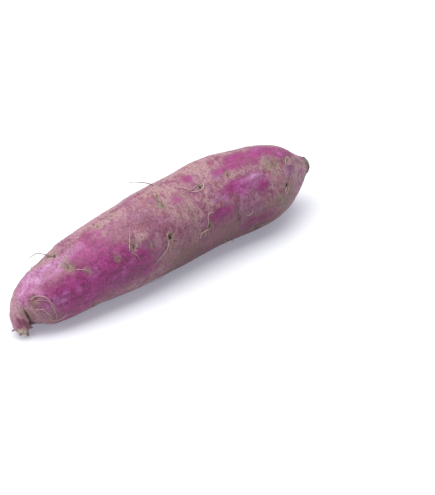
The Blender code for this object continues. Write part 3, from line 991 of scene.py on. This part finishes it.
def flesh_colour(tree, place, grains):
    """Mauve skin with magenta, violet, lilac and plum patches, and how magenta it is; the lilac patches carry
    a painted highlight.
    """
    cloud, mottle, streak, _, fine = grains
    redness = grain(tree, place, 13.0, 3.0, offset=57.0)
    colour = over(tree, ramp(tree, mottle, 0.38, 0.62), lit(DEEP_MAUVE), lit(MAUVE))
    colour = tint(tree, colour, CLOUD_MAUVE, ramp(tree, cloud, 0.46, 0.62), 0.4)
    colour = tint(tree, colour, RED_MAUVE, ramp(tree, redness, 0.48, 0.64), 0.45)

    wavy = weighted(tree, (value_of(tree, "magenta"), 1.0), (mottle, 1.2), (streak, 1.0), (fine, 0.7))
    pink = ramp(tree, wavy, 1.62, 2.30)
    glow = ramp(tree, weighted(tree, (wavy, 1.0), (mottle, 0.8)), 2.62, 2.92)
    rosy = times(tree, ramp(tree, mottle, 0.50, 0.64), pink)
    deep = times(tree, ramp(tree, less(tree, 1.0, streak), 0.50, 0.62), pink)
    colour = tint(tree, colour, PINK, pink, 0.92)
    colour = tint(tree, colour, BRIGHT_PINK, glow, 0.4)
    colour = tint(tree, colour, ROSE, rosy, 0.2)
    colour = tint(tree, colour, DEEP_PINK, deep, 0.75)

    texture = weighted(tree, (mottle, 0.6), (streak, 0.4))
    violet = broken(tree, value_of(tree, "violet"), mottle, 1.0, 0.15, 0.95)
    lilac_and_highlight = broken(tree, value_of(tree, "lilac_and_highlight"), texture, 2.4, 0.2, 1.2)
    plum = broken(tree, value_of(tree, "plum"), mottle, 0.9, 0.15, 0.9)
    colour = tint(tree, colour, VIOLET_SKIN, violet, 0.65)
    # Painted highlight: the lilac patches lighten the skin, and their middles whiten it.
    colour = tint(tree, colour, LILAC_SKIN_AND_SHEEN, lilac_and_highlight, 0.82)
    colour = tint(tree, colour, PAINTED_HIGHLIGHT_WHITE, ramp(tree, lilac_and_highlight, 0.80, 1.0), 0.4)
    colour = tint(tree, colour, TAIL_ROSE, value_of(tree, "tail"), 0.55)
    return tint(tree, colour, PLUM_SKIN, plum, 0.75), pink


def dusty_net(tree, colour, pink, grains):
    """Lays the dry grey-tan outer skin over the colour, as a net that is whole in the tan patches."""
    cloud, mottle, _, girth, fine = grains
    woven = ((girth, 0.38), (mottle, 0.32), (fine, 0.22), (cloud, 0.12))
    layers = {"tan": 0.17, "magenta": -0.07, "lilac_and_highlight": -0.05, "violet": -0.12, "plum": -0.14}
    placed = ((value_of(tree, name), weight) for name, weight in layers.items())
    mask = ramp(tree, weighted(tree, *woven, *placed), 0.475, 0.635)
    olive = broken(tree, value_of(tree, "olive"), mottle, 1.0, 0.1, 0.9)
    dust = over(tree, times(tree, pink, 0.85), lit(DUST), lit(PINK_DUST))
    dust = over(tree, olive, dust, lit(OLIVE_DUST))
    cover = weighted(tree, (mask, 0.70), (times(tree, mask, pink), -0.30))
    blotch = broken(tree, value_of(tree, "olive"), fine, 1.6, 0.35, 1.1)
    return tint(tree, over(tree, cover, colour, dust), BLOTCH, blotch, 0.42), mask


def specks(tree, colour, pink, fine, speck):
    """Scatters dark and pale specks, of a pinker hue where the skin is magenta."""
    dark = times(tree, ramp(tree, less(tree, 1.0, fine), 0.49, 0.67), 0.72)
    pale = times(tree, ramp(tree, speck, 0.50, 0.72), 0.40)
    colour = over(tree, dark, colour, over(tree, pink, lit(DARK_SPECK), lit(DARK_PINK_SPECK)))
    return over(tree, pale, colour, over(tree, pink, lit(PALE_SPECK), lit(PALE_PINK_SPECK)))


def brown_marks(tree, colour, mottle, fine):
    """Paints shade on the underside as a darker brown, and paints the brown patches and the grooves."""
    plain = weighted(tree, (value_of(tree, "under"), 1.0), (value_of(tree, "plum"), -0.8))
    under = broken(tree, plain, mottle, 0.8, 0.1, 0.9)
    brown = broken(tree, value_of(tree, "brown"), mottle, 1.0, 0.15, 0.9)
    groove = broken(tree, value_of(tree, "groove"), fine, 1.6, 0.3, 1.1)
    # Painted shade: the underside of the thick part is darkened with brown.
    colour = tint(tree, colour, UNDER_SHADE_BROWN, under, 0.70)
    # The brown patches are skin colour, except those along the lower near side, which are painted shade.
    colour = tint(tree, colour, PATCH_BROWN, brown, 0.6)
    return tint(tree, colour, GROOVE_BROWN, groove, 0.6)


def scar_marks(tree, colour, place, fine):
    """Paints each root scar's grey-tan halo and its dark torn slits."""
    near = add(tree, "ShaderNodeAttribute", attribute_name="scar").outputs["Vector"]
    noisy = add(tree, "ShaderNodeTexNoise", {"Vector": place, "Scale": 0.7, "Detail": 3.0}).outputs["Color"]
    wobbly = moved(tree, noisy, (SCAR_WOBBLE, SCAR_WOBBLE, 0.0), near)
    along, across, size = add(tree, "ShaderNodeSeparateXYZ", {0: wobbly}).outputs
    along, across = (less(tree, apart, SCAR_WOBBLE / 2) for apart in (along, across))
    halo = within_scar(tree, along, across, size, (2.6, 3.4), (0.35, 1.25))
    halo = times(tree, halo, ramp(tree, fine, 0.30, 0.52))
    colour = tint(tree, colour, SCAR_HALO, halo, 0.62)
    tilted = weighted(tree, (along, 0.8), (across, 0.6))
    crossing = weighted(tree, (along, -0.6), (across, 0.8))
    first = within_scar(tree, along, across, size, (0.6, 1.5), (0.7, 1.15))
    second = within_scar(tree, tilted, crossing, size, (0.42, 2.3), (0.7, 1.2))
    torn = compute(tree, "MAXIMUM", first, times(tree, second, 0.7))
    torn = times(tree, torn, value_of(tree, "scar_dark"))
    return tint(tree, colour, SCAR_TEAR, torn, 0.92), torn


def within_scar(tree, along, across, size, halves, edge):
    """From 1 inside an oval on a scar to 0 outside; its half widths in mm grow with the scar's size."""
    wide = compute(tree, "DIVIDE", along, halves[0])
    high = compute(tree, "DIVIDE", across, halves[1])
    square = compute(tree, "ADD", times(tree, wide, wide), times(tree, high, high))
    distance = compute(tree, "DIVIDE", compute(tree, "SQRT", square), size)
    return less(tree, 1.0, ramp(tree, distance, *edge))


def end_marks(tree, colour, girth, fine, speck):
    """Paints the tail's crease, the bark of the stem scar and the torn pale tip."""
    # The crease is painted dark brown, partly soil and partly painted shade.
    crease = broken(tree, value_of(tree, "crease"), fine, 0.5, 0.3, 0.9)
    colour = tint(tree, colour, CREASE_BROWN, crease, 0.8)
    fibres = weighted(tree, (girth, 0.6), (speck, 0.4))
    bark = over(tree, ramp(tree, fibres, 0.42, 0.58), lit(BARK_DARK), lit(BARK_PALE))
    stem = broken(tree, value_of(tree, "stem"), fibres, 2.0, 0.22, 0.75)
    colour = over(tree, times(tree, stem, 0.92), colour, bark)
    tip = broken(tree, value_of(tree, "tip"), fine, 1.2, 0.25, 0.9)
    wood = over(tree, ramp(tree, girth, 0.42, 0.56), lit(TIP_DARK), lit(TIP_PALE))
    return over(tree, tip, colour, wood)


def skin_material():
    """Waxy magenta and mauve skin under a dusty tan net, with torn root scars and a dry stem, painted
    highlights on the lilac patches and painted shade on the underside.
    """
    material, tree, shader = new_material("sweet_potato_skin")
    place = add(tree, "ShaderNodeAttribute", attribute_name="unbent").outputs["Vector"]
    cloud = grain(tree, place, 16.0, 3.0, offset=3.0)
    mottle = grain(tree, place, 6.0, 5.0, offset=11.0)
    streak = grain(tree, place, 4.0, 5.0, (0.35, 1.0, 1.0), offset=17.0)
    girth = grain(tree, place, 2.4, 3.0, (1.0, 0.4, 0.4), 0.55, offset=29.0)
    fine = grain(tree, place, 1.1, 3.0, (1.0, 0.6, 0.6), 0.7, offset=41.0)
    speck = grain(tree, place, 1.3, 3.0, (1.0, 0.6, 0.6), 0.8, offset=67.0)
    grains = (cloud, mottle, streak, girth, fine)

    colour, pink = flesh_colour(tree, place, grains)
    colour, mask = dusty_net(tree, colour, pink, grains)
    colour = specks(tree, colour, pink, fine, speck)
    colour = brown_marks(tree, colour, mottle, fine)
    colour, torn = scar_marks(tree, colour, place, fine)
    colour = end_marks(tree, colour, girth, fine, speck)
    tree.links.new(colour, shader.inputs["Base Color"])

    rough = weighted(tree, (mask, 0.14), (torn, 0.25), (fine, 0.2))
    tree.links.new(compute(tree, "ADD", rough, 0.42), shader.inputs["Roughness"])
    set_even(shader, {"Specular IOR Level": 0.34, "Sheen Weight": 0.10, "Sheen Roughness": 0.45})
    height = weighted(tree, (girth, 0.5), (fine, 0.4), (speck, 0.3), (mask, 0.2), (torn, -0.8))
    add_bump(tree, shader, height, 0.9, 0.5 * MM)
    return material


def set_even(shader, values):
    """Sets what is the same all over a surface on the shader's own sockets."""
    for name, value in values.items():
        shader.inputs[name].default_value = value


def add_bump(tree, shader, height, strength, distance):
    """Roughens a surface by a height from 0 to 1, times the distance."""
    bump = add(tree, "ShaderNodeBump", {"Height": height, "Strength": strength, "Distance": distance})
    tree.links.new(bump.outputs["Normal"], shader.inputs["Normal"])


def rootlet_material():
    """Dry root fibre from dark to pale, after each rootlet's tone."""
    material, tree, shader = new_material("rootlet")
    place = add(tree, "ShaderNodeTexCoord").outputs["Object"]
    mottle = grain(tree, place, 2.0 * MM, 3.0)
    colour = over(tree, value_of(tree, "tone"), lit(ROOT_DARK), lit(ROOT_PALE))
    colour = tint(tree, colour, ROOT_RED, mottle, 0.4)
    tree.links.new(colour, shader.inputs["Base Color"])
    set_even(shader, {"Roughness": 0.65})
    return material


def stub_material():
    """Fibrous root bark with pale torn ends."""
    material, tree, shader = new_material("root_stub")
    place = add(tree, "ShaderNodeTexCoord").outputs["Object"]
    fibre = grain(tree, place, 0.6 * MM, 4.0)
    colour = over(tree, ramp(tree, fibre, 0.35, 0.65), lit(STUB_DARK), lit(STUB_PALE))
    cut = broken(tree, value_of(tree, "cut"), fibre, 0.6, 0.2, 0.6)
    colour = over(tree, cut, colour, lit(STUB_CUT))
    tree.links.new(colour, shader.inputs["Base Color"])
    set_even(shader, {"Roughness": 0.7})
    add_bump(tree, shader, fibre, 0.6, 0.2 * MM)
    return material


def floor_material():
    """A matt, almost even pale grey that glows a little."""
    material, tree, shader = new_material("floor")
    place = add(tree, "ShaderNodeTexCoord").outputs["Object"]
    colour = over(tree, grain(tree, place, 0.4, 2.0), linear(FLOOR_GREY), linear(FLOOR_PALE))
    tree.links.new(colour, shader.inputs["Base Color"])
    set_even(shader, {"Roughness": 0.8, "Specular IOR Level": 0.2})
    set_even(shader, {"Emission Color": (0.86, 0.87, 1.0, 1.0), "Emission Strength": FLOOR_GLOW})
    return material


def build_floor():
    half, drop = 4.0, -0.2 * MM
    corners = [(-half, -half, drop), (half, -half, drop), (half, half, drop), (-half, half, drop)]
    floor = add_mesh("floor", corners, [(0, 1, 2, 3)], floor_material())


def area_light(name, place, size, power, colour):
    """A soft rectangular light that faces the tuber."""
    data = bpy.data.lights.new(name, "AREA")
    data.shape = "RECTANGLE"
    data.size, data.size_y = size
    data.energy = power
    data.color = colour
    light = bpy.data.objects.new(name, data)
    light.location = place
    light.rotation_euler = (-Vector(place)).to_track_quat("-Z", "Y").to_euler()
    bpy.context.scene.collection.objects.link(light)


def build_lights():
    area_light("key", (0.04, 0.16, 1.20), (1.50, 1.20), 25.0, (1.0, 0.99, 0.97))
    area_light("left", (-1.10, 0.30, 0.75), (0.9, 0.9), 9.0, (0.98, 0.98, 1.0))
    world = bpy.data.worlds.new("studio")
    world.use_nodes = True
    background = world.node_tree.nodes["Background"]
    background.inputs["Color"].default_value = (0.82, 0.88, 1.0, 1.0)
    background.inputs["Strength"].default_value = 0.42
    bpy.context.scene.world = world
    bpy.context.scene.view_settings.view_transform = "Standard"


def build_camera():
    azimuth, elevation = math.radians(AZIMUTH), math.radians(ELEVATION)
    back = Vector((
        math.sin(azimuth) * math.cos(elevation),
        -math.cos(azimuth) * math.cos(elevation),
        math.sin(elevation),
    ))
    data = bpy.data.cameras.new("camera")
    data.lens = LENS
    data.sensor_width = 36.0
    camera = bpy.data.objects.new("camera", data)
    camera.location = Vector(LOOK_AT) + back * DISTANCE
    camera.rotation_euler = (-back).to_track_quat("-Z", "Y").to_euler()
    bpy.context.scene.collection.objects.link(camera)
    bpy.context.scene.camera = camera


def dress_tuber():
    skin = build_skin(skin_material())
    rootlets = build_rootlets(rootlet_material())
    stubs = build_stubs(stub_material())
    for piece in (skin, rootlets, stubs):
        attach(piece, "root")
    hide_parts("tuber")


build_camera()
build_floor()
build_lights()
dress_tuber()
